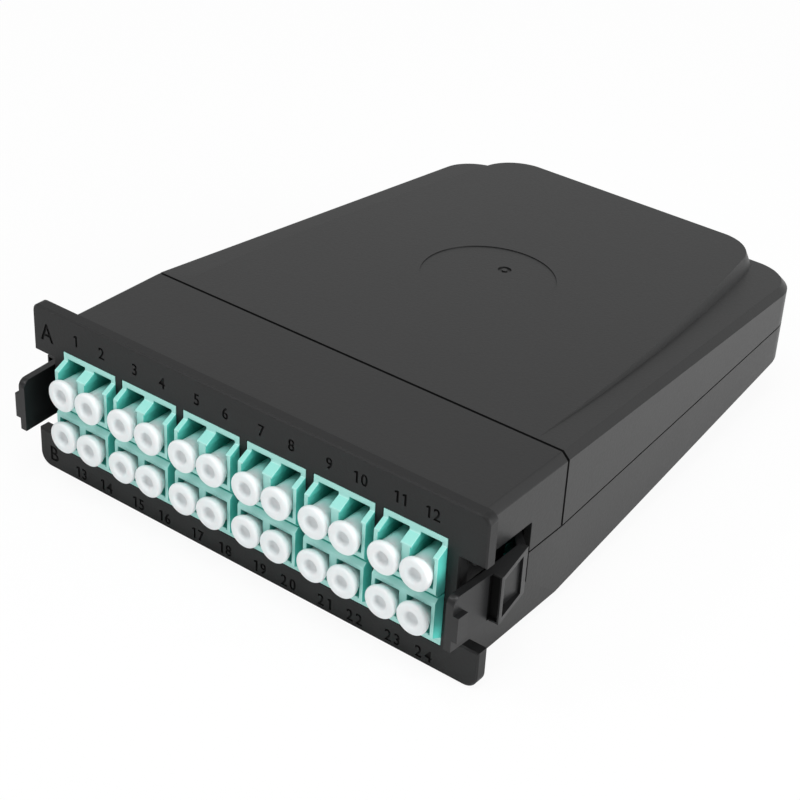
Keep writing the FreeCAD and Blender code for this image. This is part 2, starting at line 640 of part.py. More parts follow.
rounds(tray, "spools", "Z", SPOOLS, "spool_r", "-house_low + roof + 0.8", "spool_up")
rounds(tray, "spool_rooms", "Z", SPOOLS, "spool_r - spool_wall", "-rear_low + 0.5", "spool_up + 1",
       cut=True)
prism(tray, "portholes", "Y", PORTHOLES, "rear_y - 8", "rear_y + 1", cut=True)

# ---------------------------------------------------------------- duplex adapters
# One block per column and row.  The upper part of each port is a keyway, so the wall between
# the two ports is T-shaped from the front; the sleeves stand out of the faceplate and slope
# back to it at the top.
def duplex(name, column, turn):
    block = body(name, across=column, turn=turn)
    side = [("lc_back", "lc_split"), ("lc_back", "lc_high"), ("0", "lc_high"),
            ("0", "lc_high - lc_slope"), ("-lc_nose", "lc_high - lc_drop"),
            ("-lc_nose", "lc_split + lc_foot"), ("-lc_nose + lc_foot", "lc_split")]
    prism(block, "block", "X", side, "-lc_wide / 2", "lc_wide / 2")
    prism(block, "stop", "X", rect("stop_y + stop_thk + 0.1", "stop_y + stop_thk + 2",
                                   "lc_high - 0.5", "lc_high + stop_rise"),
          "-lc_wide / 4", "lc_wide / 4")
    ports = [rect("%s - port_wide / 2" % c, "%s + port_wide / 2" % c, "port_dn", "port_up")
             for c in ("-port_x", "port_x")]
    keys = [rect("%s - key_wide / 2" % c, "%s + key_wide / 2" % c, "port_up - 0.5", "key_up")
            for c in ("-port_x", "port_x")]
    prism(block, "ports", "Y", ports, "-lc_nose - 1", "port_deep", cut=True)
    prism(block, "keyways", "Y", keys, "-lc_nose - 1", "port_deep", cut=True)
    prism(block, "inner_ports", "Y", ports, "port_deep + port_web", "lc_back + 1", cut=True)
    return block


OVER = FreeCAD.Rotation(FreeCAD.Vector(0, 1, 0), 180)
adapters = []
for i, column in enumerate(columns):
    adapters.append(duplex("lc_adapter_%02d" % (i + 1), column, None))
for i, column in enumerate(columns):
    adapters.append(duplex("lc_adapter_%02d" % (i + 7), column, OVER))


# ---------------------------------------------------------------- dust caps
# A round head with a dimple, and a plain stem that plugs the port; both are drawn with
# flats, since there are twenty-four of them.
def ring(radius, flats):
    points = []
    for k in range(flats):
        turn = 360.0 * (k + 0.5) / flats
        points.append(("%s * cos(%s)" % (radius, turn), "%s * sin(%s)" % (radius, turn)))
    return points


def dust_cap(name, across, turn):
    cap = body(name, across=across, turn=turn)
    prism(cap, "head", "Y", ring("cap_head", 16), "-cap_front", "-cap_front + cap_lip")
    prism(cap, "stem", "Y", ring("cap_stem", 8), "-cap_front + cap_lip - 0.05", "cap_deep")
    prism(cap, "dimple", "Y", ring("cap_bore", 8), "-cap_front - 1", "-cap_front + cap_dimple",
          cut=True)
    return cap


caps = []
for n in range(24):
    lower = n >= 12
    column = columns[(n % 12) // 2]
    across = column + (" - port_x" if n % 2 == 0 else " + port_x")
    cap = dust_cap("dust_cap_%02d" % (n + 1), across, OVER if lower else None)
    cap.setExpression("Placement.Base.z", bound(SHIFT_Z + (" - cap_z" if lower else " + cap_z")))
    caps.append(cap)


# ---------------------------------------------------------------- latch levers
def latch(name, sign):
    """A springy lever hinged inside the tray: finger plate in the notch of the faceplate,
    a hooked catch behind it, and a cranked arm that runs inside to the hinge barrel."""
    def side(points):
        if sign > 0:
            return points
        return [("-(%s)" % u, v) for u, v in reversed(points)]
    lever = body(name)
    outer = "lever_in + lever_thk"
    plate_plan = [("lever_in", "-lever_front"), (outer, "-lever_front"),
                  (outer + " + lever_flare", "catch_y"), (outer + " + lever_flare", "catch_end"),
                  ("lever_in + lever_flare", "catch_end - 0.6"),
                  ("lever_in + lever_flare", "catch_y")]
    step = prism(lever, "finger_plate", "Z", side(plate_plan), "-lever_dn", "lever_up")
    catch_plan = [("lever_in + 1", "catch_y"), ("catch_tip", "catch_y"),
                  ("catch_tip", "catch_y + catch_flat"),
                  ("catch_out", "catch_end"), ("lever_in + 1", "catch_end")]
    step = prism(lever, "catch", "Z", side(catch_plan), "-catch_dn", "lever_up")

    def finger_corner(a, b, m):
        return (near(a.y, -V["lever_front"]) and near(b.y, -V["lever_front"])
                and near(m.z, V["lever_up"]) and near(a.z, b.z))

    step = soften(lever, "finger_corner", step, finger_corner, "lever_round")
    grip_plan = [("lever_in + 1", "-lever_front"), (outer + " + grip_rise", "-lever_front"),
                 (outer + " + grip_rise + 0.1", "-lever_front + grip_long"),
                 ("lever_in + 1", "-lever_front + grip_long")]
    step = prism(lever, "grip", "Z", side(grip_plan), "-grip_dn", "grip_up")
    arm_plan = [("lever_in + lever_flare", "catch_end - 0.8"), (outer + " + lever_flare", "catch_end"),
                ("hinge_x + arm_thk + 0.45", "window_y - 0.4"), ("hinge_x + arm_thk + 0.2", "hinge_y"),
                ("hinge_x + 0.3", "hinge_y"), ("hinge_x + 0.5", "window_y - 1.0")]
    step = prism(lever, "arm", "Z", side(arm_plan), "-catch_dn", "lever_up - 0.7")
    pockets = rect("catch_y + catch_rim", "catch_end - 1.6", "-catch_dn + catch_rim", "lever_up - catch_rim")
    low = "lever_in + lever_thk + lever_flare"
    if sign > 0:
        prism(lever, "catch_pocket", "X", pockets, low, "catch_tip + 1", cut=True)
    else:
        prism(lever, "catch_pocket", "X", pockets, "-catch_tip - 1", "-(%s)" % low, cut=True)
    middle = ("hinge_x" if sign > 0 else "-hinge_x", "hinge_y")
    rounds(lever, "barrel", "Z", [middle], "hinge_r", "-lever_up + 0.4", "lever_up - 0.7")
    rounds(lever, "barrel_bore", "Z", [middle], "hinge_bore", "-lever_up", "lever_up", cut=True)
    return lever


levers = [latch("latch_left", -1), latch("latch_right", 1)]


# ---------------------------------------------------------------- rear adapters and their caps
def rear_adapter(name, across):
    block = body(name, across=across)
    prism(block, "shell", "Y", rect("-mpo_half", "mpo_half", "-mpo_high", "mpo_high"),
          "mpo_inner", "mpo_outer")
    prism(block, "outer_flange", "Y",
          rect("-mpo_half - flange_side", "mpo_half + flange_side",
               "-mpo_high - flange_rise", "mpo_high + flange_rise"),
          "rear_y + 0.05", "rear_y + 0.05 + flange_thk")
    prism(block, "inner_clip", "Y",
          rect("-mpo_half - clip_side", "mpo_half + clip_side", "-clip_half", "clip_half"),
          "rear_y - tray_wall - 0.1 - clip_thk", "rear_y - tray_wall - 0.1")
    mouth = [("-mouth_half", "-mouth_dn"), ("mouth_half", "-mouth_dn"), ("mouth_half", "mouth_up"),
             ("slot_half", "mouth_up"), ("slot_half", "mouth_up + slot_rise"),
             ("-slot_half", "mouth_up + slot_rise"), ("-slot_half", "mouth_up"),
             ("-mouth_half", "mouth_up")]
    prism(block, "mouth", "Y", mouth, "mpo_outer - mouth_deep", "mpo_outer + 1", cut=True)
    prism(block, "inner_mouth", "Y", mouth, "mpo_inner - 1", "mpo_outer - mouth_deep - 2", cut=True)
    return block


def rear_cap(name, across):
    cap = body(name, across=across)
    prism(cap, "grip", "Y", rect("-mpo_half + mpo_grip", "mpo_half - mpo_grip",
                                 "-mpo_high + mpo_grip / 2", "mpo_high - mpo_grip / 2"),
          "mpo_outer + lc_clear", "mpo_outer + lc_clear + mpo_cap")
    prism(cap, "plug", "Y", rect("-mouth_half + plug_clear", "mouth_half - plug_clear",
                                 "-mouth_dn + plug_clear", "mouth_up - plug_clear"),
          "mpo_outer - mpo_plug", "mpo_outer + lc_clear + 0.5")
    return cap


for tag, across in (("a", "-mpo_x"), ("b", "mpo_x")):
    rear_adapter("mpo_adapter_" + tag, across)
    rear_cap("mpo_cap_" + tag, across)

# ---------------------------------------------------------------- screws
# Four equal screws come up through the tray's posts into the rear cover's bosses.
doc.recompute()
screws = doc.addObject("Part::Feature", "cover_screws")
screws.Label = "cover_screws"
solids = []
for x, y in ((V["boss_x1"], V["boss_y1"]), (-V["boss_x1"], V["boss_y1"]),
             (V["boss_x2"], V["boss_y2"]), (-V["boss_x2"], V["boss_y2"])):
    at = FreeCAD.Vector(x, y, -V["screw_seat"])
    head = Part.makeCylinder(V["screw_head"], V["screw_cap"], at, FreeCAD.Vector(0, 0, -1))
    shank = Part.makeCylinder(V["screw_r"], V["screw_seat"] + V["screw_grip"], at)
    solids.append(head.fuse(shank))
screws.Shape = Part.makeCompound(solids)
screws.setExpression("Placement.Base.y", bound(SHIFT_Y))
screws.setExpression("Placement.Base.z", bound(SHIFT_Z))
made.append(screws)

doc.recompute()
for thing in doc.Objects:
    if "Invalid" in thing.State or "Error" in thing.State:
        raise RuntimeError("%s did not build: %s" % (thing.Name, thing.getStatusString()))
for piece in made:
    if piece.Shape.isNull() or not piece.Shape.isValid() or not piece.Shape.Solids:
        raise RuntimeError(piece.Label + " is not a sound solid")

os.makedirs("parts", exist_ok=True)
for piece in made:
    piece.Shape.exportStep(os.path.join("parts", piece.Label + ".step"))
print(len(made), "pieces")
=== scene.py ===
# %% [markdown]
# # Dressing a fibre cassette
# The object is a flat plastic box for a patch panel.  Twelve aqua duplex adapters look out of
# its faceplate, each port closed by a clear dust cap, and a squeeze lever holds it on each
# side.  The construction is already made in real millimetres.  This lesson adds what the eye
# meets first: softened edges, moulded plastics, the sunk numbers and the light.
# The first cell loads the imported model and keeps its outer box, which the last cell uses to
# set the floor just below it.

# %% Load the imported model
import math
import bmesh
import bpy
from mathutils import Matrix, Vector


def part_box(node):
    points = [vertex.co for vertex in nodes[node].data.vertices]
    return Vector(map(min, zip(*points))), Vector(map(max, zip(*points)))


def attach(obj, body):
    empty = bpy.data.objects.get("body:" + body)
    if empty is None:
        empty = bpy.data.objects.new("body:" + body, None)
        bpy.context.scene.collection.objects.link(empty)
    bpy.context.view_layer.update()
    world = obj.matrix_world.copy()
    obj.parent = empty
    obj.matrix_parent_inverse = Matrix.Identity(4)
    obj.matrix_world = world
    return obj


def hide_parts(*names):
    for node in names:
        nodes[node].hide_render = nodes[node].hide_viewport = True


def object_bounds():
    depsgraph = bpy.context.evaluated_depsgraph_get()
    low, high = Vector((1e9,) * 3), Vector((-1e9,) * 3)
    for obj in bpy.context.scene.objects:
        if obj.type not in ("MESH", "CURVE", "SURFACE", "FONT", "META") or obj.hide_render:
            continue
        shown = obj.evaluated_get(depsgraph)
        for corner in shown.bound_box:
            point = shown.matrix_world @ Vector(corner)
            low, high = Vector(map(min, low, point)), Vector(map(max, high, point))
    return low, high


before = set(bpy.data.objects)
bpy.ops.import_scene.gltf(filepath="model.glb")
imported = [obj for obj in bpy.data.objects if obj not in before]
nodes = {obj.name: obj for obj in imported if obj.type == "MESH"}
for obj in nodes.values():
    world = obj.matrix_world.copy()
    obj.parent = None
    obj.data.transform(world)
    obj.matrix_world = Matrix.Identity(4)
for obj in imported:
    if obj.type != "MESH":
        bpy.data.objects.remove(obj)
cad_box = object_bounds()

MM = 0.001

# %% [markdown]
# ## The camera
# A product like this is shown from the front right and from a third of the way up, so that the
# ports, the raised field of the roof and one lever all show.  A camera could be given a place
# and three turns, but nobody thinks in those numbers.  Here it gets a direction, a distance and
# a small roll, measured from a point inside the housing, behind the middle of the faceplate.

# %% Place the camera
face_low, face_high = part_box("faceplate")
FACE = face_low.y                      # the front of the faceplate
SPLIT = face_low.z + 15.7 * MM         # the level between the two rows of ports
AIM = Vector((0, FACE, SPLIT)) + Vector((1.053, 41.171, -1.008)) * MM


def place_camera(azimuth, elevation, roll, distance, lens):
    """A camera that looks at AIM from a compass direction, an elevation and a distance."""
    azimuth, elevation, roll = (math.radians(v) for v in (azimuth, elevation, roll))
    reach = math.cos(elevation)
    back = Vector((math.sin(azimuth) * reach, -math.cos(azimuth) * reach,
                   math.sin(elevation)))
    right = (-back).cross(Vector((0, 0, 1))).normalized()
    up = right.cross(-back)
    side = right * math.cos(roll) + up * math.sin(roll)
    top = up * math.cos(roll) - right * math.sin(roll)
    spot = AIM + back * distance
    data = bpy.data.cameras.new("camera")
    data.lens = lens
    data.sensor_width = 36
    data.clip_start, data.clip_end = 0.01, 20
    eye = bpy.data.objects.new("camera", data)
    bpy.context.scene.collection.objects.link(eye)
    eye.matrix_world = Matrix((
        (side.x, top.x, back.x, spot.x),
        (side.y, top.y, back.y, spot.y),
        (side.z, top.z, back.z, spot.z),
        (0, 0, 0, 1)))
    return eye


camera = place_camera(azimuth=35.834, elevation=32.011, roll=3.256, distance=343.48 * MM,
                      lens=86.287)
bpy.context.scene.camera = camera
print("camera stands", tuple(round(v, 3) for v in camera.location))

# %% [markdown]
# ## Shader maths as Python
# A moulded surface is never one flat value: its gloss and its colour drift a little.  Such
# mixtures can be drawn as a web of Math nodes, but they are easier to read as sums and products.
# So a small class wraps a socket, and each operator adds the Math node that it stands for.  The
# reflected forms let a plain number stand on the left.

# %% A socket that can be added and multiplied
class Signal:
    """One value of a shader, with the operators that shader maths needs."""

    def __init__(self, tree, socket):
        self.tree = tree
        self.socket = socket

    def _math(self, operation, first, second):
        fresh = self.tree.nodes.new("ShaderNodeMath")
        fresh.operation = operation
        for slot, value in zip(fresh.inputs, (first, second)):
            if isinstance(value, Signal):
                self.tree.links.new(value.socket, slot)
            else:
                slot.default_value = value
        return Signal(self.tree, fresh.outputs[0])

    def __add__(self, other):
        return self._math("ADD", self, other)

    def __radd__(self, other):
        return self._math("ADD", other, self)

    def __sub__(self, other):
        return self._math("SUBTRACT", self, other)

    def __rsub__(self, other):
        return self._math("SUBTRACT", other, self)

    def __mul__(self, other):
        return self._math("MULTIPLY", self, other)

    def __rmul__(self, other):
        return self._math("MULTIPLY", other, self)

    def output(self, name):
        """Another output of the node that this value comes from."""
        return Signal(self.tree, self.socket.node.outputs[name])


print("Signal adds, subtracts and multiplies")

# %% [markdown]
# ## Any other node
# Every node that isn't arithmetic comes from one method.  It takes the node's type, its
# settings and what goes into its sockets.  A socket is named with an underscore for each space,
# or by its number, as _0, where several sockets share a name.  A finish is such a tree with a
# Principled shader in it, and a value that is the same all over the surface is set on that
# shader's own socket.

# %% Trees and finishes
class Tree:
    """A node tree, of a material or of the world."""

    def __init__(self, tree):
        self.tree = tree

    def node(self, kind, settings=None, out=0, **inputs):
        fresh = self.tree.nodes.new(kind)
        for name, value in (settings or {}).items():
            setattr(fresh, name, value)
        for name, value in inputs.items():
            key = int(name[1:]) if name[1:].isdigit() else name.replace("_", " ")
            if isinstance(value, Signal):
                self.tree.links.new(value.socket, fresh.inputs[key])
            else:
                fresh.inputs[key].default_value = value
        return Signal(self.tree, fresh.outputs[out])


class Finish(Tree):
    """A material with a Principled shader, and the few nodes that the plastics share."""

    def __init__(self, name, **surface):
        self.material = bpy.data.materials.new(name)
        self.material.use_nodes = True
        super().__init__(self.material.node_tree)
        self.shader = self.tree.nodes["Principled BSDF"]
        for socket, value in surface.items():
            self.shader.inputs[socket.replace("_", " ")].default_value = value

    def feed(self, socket, signal):
        self.tree.links.new(signal.socket, self.shader.inputs[socket])

    def place(self):
        """Where a point lies on its piece, in metres."""
        return self.node("ShaderNodeTexCoord", out="Object")

    def noise(self, scale, detail=2.0):
        return self.node("ShaderNodeTexNoise", Vector=self.place(), Scale=scale,
                         Detail=detail, Roughness=0.5)

    def ramp(self, value, start, end, way="LINEAR"):
        """0 at the start and 1 at the end, and level outside them."""
        return self.node("ShaderNodeMapRange", {"interpolation_type": way}, Value=value,
                         From_Min=start, From_Max=end)

    def mix(self, share, first, second):
        """The first colour where the share is 0, and the second where it is 1."""
        first, second = (colour if isinstance(colour, Signal) else (*colour, 1)
                         for colour in (first, second))
        return self.node("ShaderNodeMix", {"data_type": "RGBA"}, out=2,
                         _0=share, _6=first, _7=second)


print("Tree and Finish are ready")

# %% [markdown]
# ## Black moulded plastic
# The housing is a black plastic with a soft sheen and the finest grain from the mould, which
# shows as a slightly uneven gloss and a few faint drifts of grey.  One flat black would look
# painted.  Two noises are enough: a wide one for the drifts, and a fine one, about half a
# millimetre across, for the grain.  The faceplate is a little more matt than the housing and a
# little darker, which paints shade on its front.  The levers are a little smoother and also a
# little darker, as painted shade.  What is cut into them takes a near-black finish that hardly
# shines, which paints shade into the cuts.

# %% Mix the blacks
DRIFTS, GRAINS = 28.0, 1900.0          # waves in a metre
DARK, LIGHT = 0.8, 1.3                 # ends of the drift, as shares of the shade


def black_plastic(name, shade, gloss, grain, level=0.42):
    """A dark plastic: grain is the height of its bumps in metres, level that of its sheen."""
    finish = Finish(name, Specular_IOR_Level=level)
    drift = finish.noise(DRIFTS, 3.0)
    fine = finish.noise(GRAINS)
    darker, lighter = (tuple(part * share for part in shade) for share in (DARK, LIGHT))
    finish.feed("Base Color", finish.mix(drift, darker, lighter))
    finish.feed("Roughness", gloss + (drift - 0.5) * 0.1 + (fine - 0.5) * 0.08)
    finish.feed("Normal", finish.node("ShaderNodeBump", Height=fine, Distance=grain,
                                      Strength=1.0))
    return finish.material


housing_black = black_plastic("housing_black", (0.0105, 0.0107, 0.0108), 0.40, 0.00002)
# a darker copy of the housing black: painted shade on the faceplate's front
face_black_painted_shade = black_plastic("face_black_painted_shade", (0.008, 0.0082, 0.0084), 0.46, 0.00002, 0.30)
# a darker copy of the housing black: painted shade on the levers and the rear pieces
lever_black_painted_shade = black_plastic("lever_black_painted_shade", (0.008, 0.0082, 0.0086), 0.36, 0.00001, 0.36)
# near-black: painted shade in the sunk numbers, the shadow gap and the catch hollows
near_black_shade = black_plastic("painted_shade_black", (0.003, 0.003, 0.003), 0.6, 0.00001, 0.15)
print(len(bpy.data.materials), "materials")

# %% [markdown]
# ## Aqua sleeves
# The adapters are a smooth aqua.  Their sleeves have thin walls, so light shines through the
# front faces and makes them pale, while the inside of each port lies in shade.  Thin walls could
# be made of a plastic that really lets light through, but that costs many bounces and gives
# noise.  Here a mask paints both: what faces forward and lies near the front gets painted light
# and is pale, and behind it painted shade deepens the colour until nine millimetres into the
# port.

# %% Mix the aqua
SLEEVES = FACE - 2.2 * MM              # the front of the sleeves
# where the painted light on the front faces starts and is full
FORWARD = -0.25, -0.55                 # y of a normal where pale starts and is full
SHALLOW = 3.2, 2.6                     # depth where pale starts and is full, in mm
# where the painted shade inside the port starts and ends
PAINTED_SHADE_DEPTHS = 1.0, 9.0                     # depth where the colour starts and ends to deepen, in mm
BLOTCHES = 90.0                        # waves in a metre
TO_MM = 1000.0


def sleeve_painted_light_and_shade(name, pale, colour, painted_shade_colour, gloss):
    """Painted light makes the sleeves' thin front faces pale, and painted shade deepens the
    colour inside the ports.
    """
    finish = Finish(name)
    place = finish.node("ShaderNodeSeparateXYZ", Vector=finish.place())
    depth = (place.output("Y") - SLEEVES) * TO_MM
    normal = finish.node("ShaderNodeTexCoord", out="Normal")
    facing = finish.node("ShaderNodeSeparateXYZ", Vector=normal).output("Y")
    # painted light: faces that look forward, near the front of the sleeve
    ahead = finish.ramp(facing, *FORWARD) * finish.ramp(depth, *SHALLOW)
    drift = finish.noise(BLOTCHES)
    # painted shade: the colour deepens into the port
    port_painted_shade = finish.mix(finish.ramp(depth, *PAINTED_SHADE_DEPTHS), colour, painted_shade_colour)
    finish.feed("Base Color", finish.mix(ahead * 0.8 + (drift - 0.5) * 0.1, port_painted_shade, pale))
    finish.feed("Roughness", gloss + (drift - 0.5) * 0.1)
    return finish.material


aqua = sleeve_painted_light_and_shade("aqua_painted_light_and_shade", (0.52, 0.88, 0.82), (0.12, 0.67, 0.58),
                      (0.02, 0.32, 0.27), 0.34)
print("sleeves start", round((FACE - SLEEVES) / MM, 2), "mm ahead of the faceplate")

# %% [markdown]
# ## Milky caps with clear stems
# The dust caps are milky, so some light goes in and comes out again beside where it entered: a
# little subsurface weight gives that and keeps them from looking like chalk.  Their stems are
# clearer.  They stand in aqua sleeves, whose light bounces onto them, the more the deeper they
# sit.  Light alone would carry that colour over, given many bounces.  A painted aqua bounce
# light that grows with the distance behind the cap's face gives it at once.  The dimple in the
# face is mixed a little greyer, as painted shade.

# %% Mix the milky plastics
MILK = (0.88, 0.92, 0.93)
CLOUDS = 120.0                         # waves in a metre
# painted shade in the dimple: where it starts and is full, and how grey it makes the milk
DIMPLE_SHADE_ROUND = 2.3, 0.9                # squared radius where its grey starts and is full, in mm
DIMPLE_SHADE_DEEP = 2.0, 1.6                 # distance behind the face for the same, in mm
DIMPLE_SHADE = 0.84


def milky_with_painted_bounce(name, painted_bounce, start, end, clear=0.0):
    """Milky at the face, with painted aqua bounce light from start to end, in millimetres behind
    it, and painted shade in the dimple.
    """
    finish = Finish(name, Subsurface_Weight=0.3, Subsurface_Scale=0.0015,
                    Subsurface_Radius=(0.6, 0.8, 0.8), Specular_IOR_Level=0.4,
                    Transmission_Weight=clear)
    place = finish.node("ShaderNodeSeparateXYZ", Vector=finish.place())
    across, depth, up = (place.output(axis) * TO_MM for axis in "XYZ")
    # painted aqua bounce light, growing with the distance behind the face
    body = finish.mix(finish.ramp(depth, start, end, "SMOOTHSTEP"), MILK, painted_bounce)
    # painted shade: the dimple is mixed greyer
    dimple_shade_round = finish.ramp(across * across + up * up, *DIMPLE_SHADE_ROUND, "SMOOTHSTEP")
    front = finish.ramp(depth, *DIMPLE_SHADE_DEEP)
    dimple_shade_colour = tuple(part * DIMPLE_SHADE for part in MILK)
    finish.feed("Base Color", finish.mix(dimple_shade_round * front, body, dimple_shade_colour))
    finish.feed("Roughness", 0.32 + (finish.noise(CLOUDS) - 0.5) * 0.12)
    return finish.material


milky = milky_with_painted_bounce("milky_with_painted_bounce", (0.60, 0.86, 0.83), 1.2, 5.0)
clear_stem_painted_bounce = milky_with_painted_bounce("clear_stem_painted_bounce", (0.36, 0.80, 0.74), 1.4, 4.6, clear=0.28)
print(milky.name, "and", clear_stem_painted_bounce.name)

# %% [markdown]
# ## Black zinc
# The four cover screws sit in wells under the housing.  Such screws are plated in black zinc, a
# dark metal whose tone is a little patchy.  They are small and seldom seen, so a metallic
# shader with one noise in its colour and its roughness is all that they need.

# %% Mix the zinc
def dark_metal(name, light, dark, gloss):
    finish = Finish(name, Metallic=0.9)
    patch = finish.noise(BLOTCHES)
    finish.feed("Base Color", finish.mix(patch, dark, light))
    finish.feed("Roughness", gloss + (patch - 0.5) * 0.1)
    return finish.material


zinc = dark_metal("black_zinc", (0.12, 0.12, 0.125), (0.08, 0.08, 0.085), 0.35)
print(len(bpy.data.materials), "materials")

# %% [markdown]
# ## Softened edges
# Moulded plastic has no sharp edge: each one carries a radius of a few tenths of a millimetre,
# and the thin bright line along it is what tells the eye that the part is real.  The solids of
# the construction are triangles with hard edges.  A Bevel node in the material could fake the
# radius, but an exported mesh would lose it.  So each visible piece is a copy of its solid with
# a narrow bevel on every edge that turns by more than a set angle, and with normals weighted by
# face area, so that the flat faces stay flat.  A piece may also have shapes cut out of it after
# the bevel.  The copy then stands for the solid.

# %% Dress a node
TURN, CRISP = math.radians(28), math.radians(45)
made = []


def add(name, data):
    piece = bpy.data.objects.new(name, data)
    bpy.context.scene.collection.objects.link(piece)
    return piece


def weld(mesh, distance, outwards=False):
    """Join corners that lie on each other, and turn the faces outwards where asked."""
    skin = bmesh.new()
    skin.from_mesh(mesh)
    bmesh.ops.remove_doubles(skin, verts=skin.verts, dist=distance)
    if outwards:
        bmesh.ops.recalc_face_normals(skin, faces=skin.faces)
    skin.to_mesh(mesh)
    skin.free()


def soften(piece, width):
    """Bevel the edges that turn sharply; the width is in millimetres."""
    soft = piece.modifiers.new("soft_edges", "BEVEL")
    soft.width = width * MM
    soft.segments = 2
    soft.limit_method = "ANGLE"
    soft.angle_limit = TURN
    soft.miter_outer = "MITER_ARC"
    soft.use_clamp_overlap = True


def carve(piece, cutters, overlap):
    """Cut shapes out, which may overlap; the floor of a cut keeps the cutter's finish."""
    for cutter in cutters:
        cut = piece.modifiers.new("cut", "BOOLEAN")
        cut.operation = "DIFFERENCE"
        cut.solver = "EXACT"
        cut.use_self = overlap
        cut.object = cutter
        cut.material_mode = "TRANSFER"
    split = piece.modifiers.new("crisp", "EDGE_SPLIT")
    split.split_angle = CRISP


def settle(piece):
    """Put the result of the modifiers into the mesh itself."""
    result = piece.evaluated_get(bpy.context.evaluated_depsgraph_get())
    mesh = bpy.data.meshes.new_from_object(result)
    piece.modifiers.clear()
    piece.data = mesh


def dress(node, material, body, width, cutters=(), overlap=False):
    """A copy of a solid with softened edges, riding where the solid rides."""
    mesh = nodes[node].data.copy()
    mesh.name = node + "_skin"
    weld(mesh, distance=1e-6)
    mesh.materials.clear()
    mesh.materials.append(material)
    mesh.shade_smooth()
    piece = add(node + "_skin", mesh)
    soften(piece, width)
    if cutters:
        carve(piece, cutters, overlap)
    flat = piece.modifiers.new("flat_faces", "WEIGHTED_NORMAL")
    flat.weight = 80
    flat.keep_sharp = True
    settle(piece)
    for cutter in cutters:
        bpy.data.objects.remove(cutter)
    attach(piece, body)
    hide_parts(node)
    made.append(piece)


print("edges that turn by", round(math.degrees(TURN)), "degrees are bevelled")

# %% [markdown]
# ## Turned dust caps
# A dust cap is a soft-edged head with a flat-bottomed dimple, a short tapered neck and a
# straight stem.  It is as round as if it came from a lathe, so its skin is turned from a
# profile, which is easier to shape than a cylinder with bevels.  All twenty-four caps share
# that mesh, the head in the milky plastic and the stem in the clearer one.  Each stands with
# the middle of its face where the solid cap has it.

# %% Turn the caps
STEM = 1.4                             # where the clearer plastic starts, in mm behind the face
CAP = [(0, 0.95), (0.7, 0.92), (1.0, 0.78), (1.2, 0.45), (1.38, 0.16), (1.58, 0.03), (1.8, 0),
       (2.4, 0), (2.7, 0.07), (2.9, 0.25), (2.965, 0.5), (2.93, 0.8), (2.83, 1.1), (2.68, 1.4),
       (2.48, 1.75), (2.33, 2.05), (2.3, 3.4), (2.3, 6.5), (2.3, 9.8), (2.0, 10.2),
       (0, 10.2)]


def turned(name, profile, flats=40):
    """A skin turned round the Y axis; the profile lists (radius, distance back) in mm."""
    corners, faces, rows = [], [], []
    for radius, back in profile:
        count = flats if radius else 1
        rows.append(range(len(corners), len(corners) + count))
        for k in range(count):
            turn = math.tau * k / flats
            corners.append((radius * math.cos(turn) * MM, back * MM,
                            radius * math.sin(turn) * MM))
    for a, b in zip(rows, rows[1:]):
        for k in range(flats):
            after = (k + 1) % flats
            loop = [b[k % len(b)], b[after % len(b)], a[after % len(a)], a[k % len(a)]]
            faces.append(tuple(dict.fromkeys(loop)))
    mesh = bpy.data.meshes.new(name)
    mesh.from_pydata(corners, [], faces)
    mesh.shade_smooth()
    return mesh


cap_mesh = turned("turned_cap", CAP)
cap_mesh.materials.append(milky)
cap_mesh.materials.append(clear_stem_painted_bounce)
for face in cap_mesh.polygons:
    face.material_index = int(face.center.y > STEM * MM)
for i in range(1, 25):
    low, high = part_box("dust_cap_%02d" % i)
    cap = add("cap_skin_%02d" % i, cap_mesh)
    cap.location = ((low.x + high.x) / 2, low.y, (low.z + high.z) / 2)
    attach(cap, "cap_%02d" % i)
    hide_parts("dust_cap_%02d" % i)
    made.append(cap)
print(len(cap_mesh.polygons), "faces in each cap")

# %% [markdown]
# ## Cutters
# Numbers, marks and hollows are all cut out of the pieces with simple solids.  Blender has
# ready-made shapes for that, but a list of corners and a list of faces is all that a solid
# needs, and many such lists can be joined into one mesh, which cuts faster than many single
# ones.

# %% Make cutters from corners and faces
def slab(points):
    """A solid from a flat outline of (across, up), one unit deep."""
    count = len(points)
    corners = [(u, v, d) for d in (-0.5, 0.5) for u, v in points]
    faces = [tuple(range(count - 1, -1, -1)), tuple(range(count, 2 * count))]
    faces += [(k, (k + 1) % count, count + (k + 1) % count, count + k) for k in range(count)]
    return corners, faces


def box_cut(across, back, up, sign=1):
    """A box in the measures of the cassette, mirrored to the left where sign is -1."""
    corners = [(sign * x * MM, FACE + y * MM, SPLIT + z * MM)
               for x in across for y in back for z in up]
    faces = [(0, 1, 3, 2), (4, 6, 7, 5), (0, 4, 5, 1), (2, 3, 7, 6), (0, 2, 6, 4), (1, 5, 7, 3)]
    return corners, faces


def joined(name, parts, material):
    """One cutter from several pairs of corners and faces."""
    corners, faces = [], []
    for some, those in parts:
        start = len(corners)
        corners += some
        faces += [tuple(i + start for i in face) for face in those]
    mesh = bpy.data.meshes.new(name)
    mesh.from_pydata(corners, [], faces)
    mesh.validate()
    weld(mesh, distance=1e-7, outwards=True)
    mesh.materials.append(material)
    return add(name, mesh)


print("a box has", len(box_cut((0, 1), (0, 1), (0, 1))[1]), "faces")

# %% [markdown]
# ## The shape of a character
# Each port has its number, 1 to 12 above and 13 to 24 below, and each row has its letter.  On
# the real faceplate they are sunk by the mould.  A drawing on the surface would look flat from
# close by, so they are cut.  Blender's own font gives the outlines, each turned into a solid
# one unit high.  The 1 is drawn from listed points instead, as a plain upright with a short
# flag.

# %% Outline the characters
FATTEN = 0.008                         # added all round the font's outlines
STROKE = 0.17                          # width of the upright of the 1, in heights


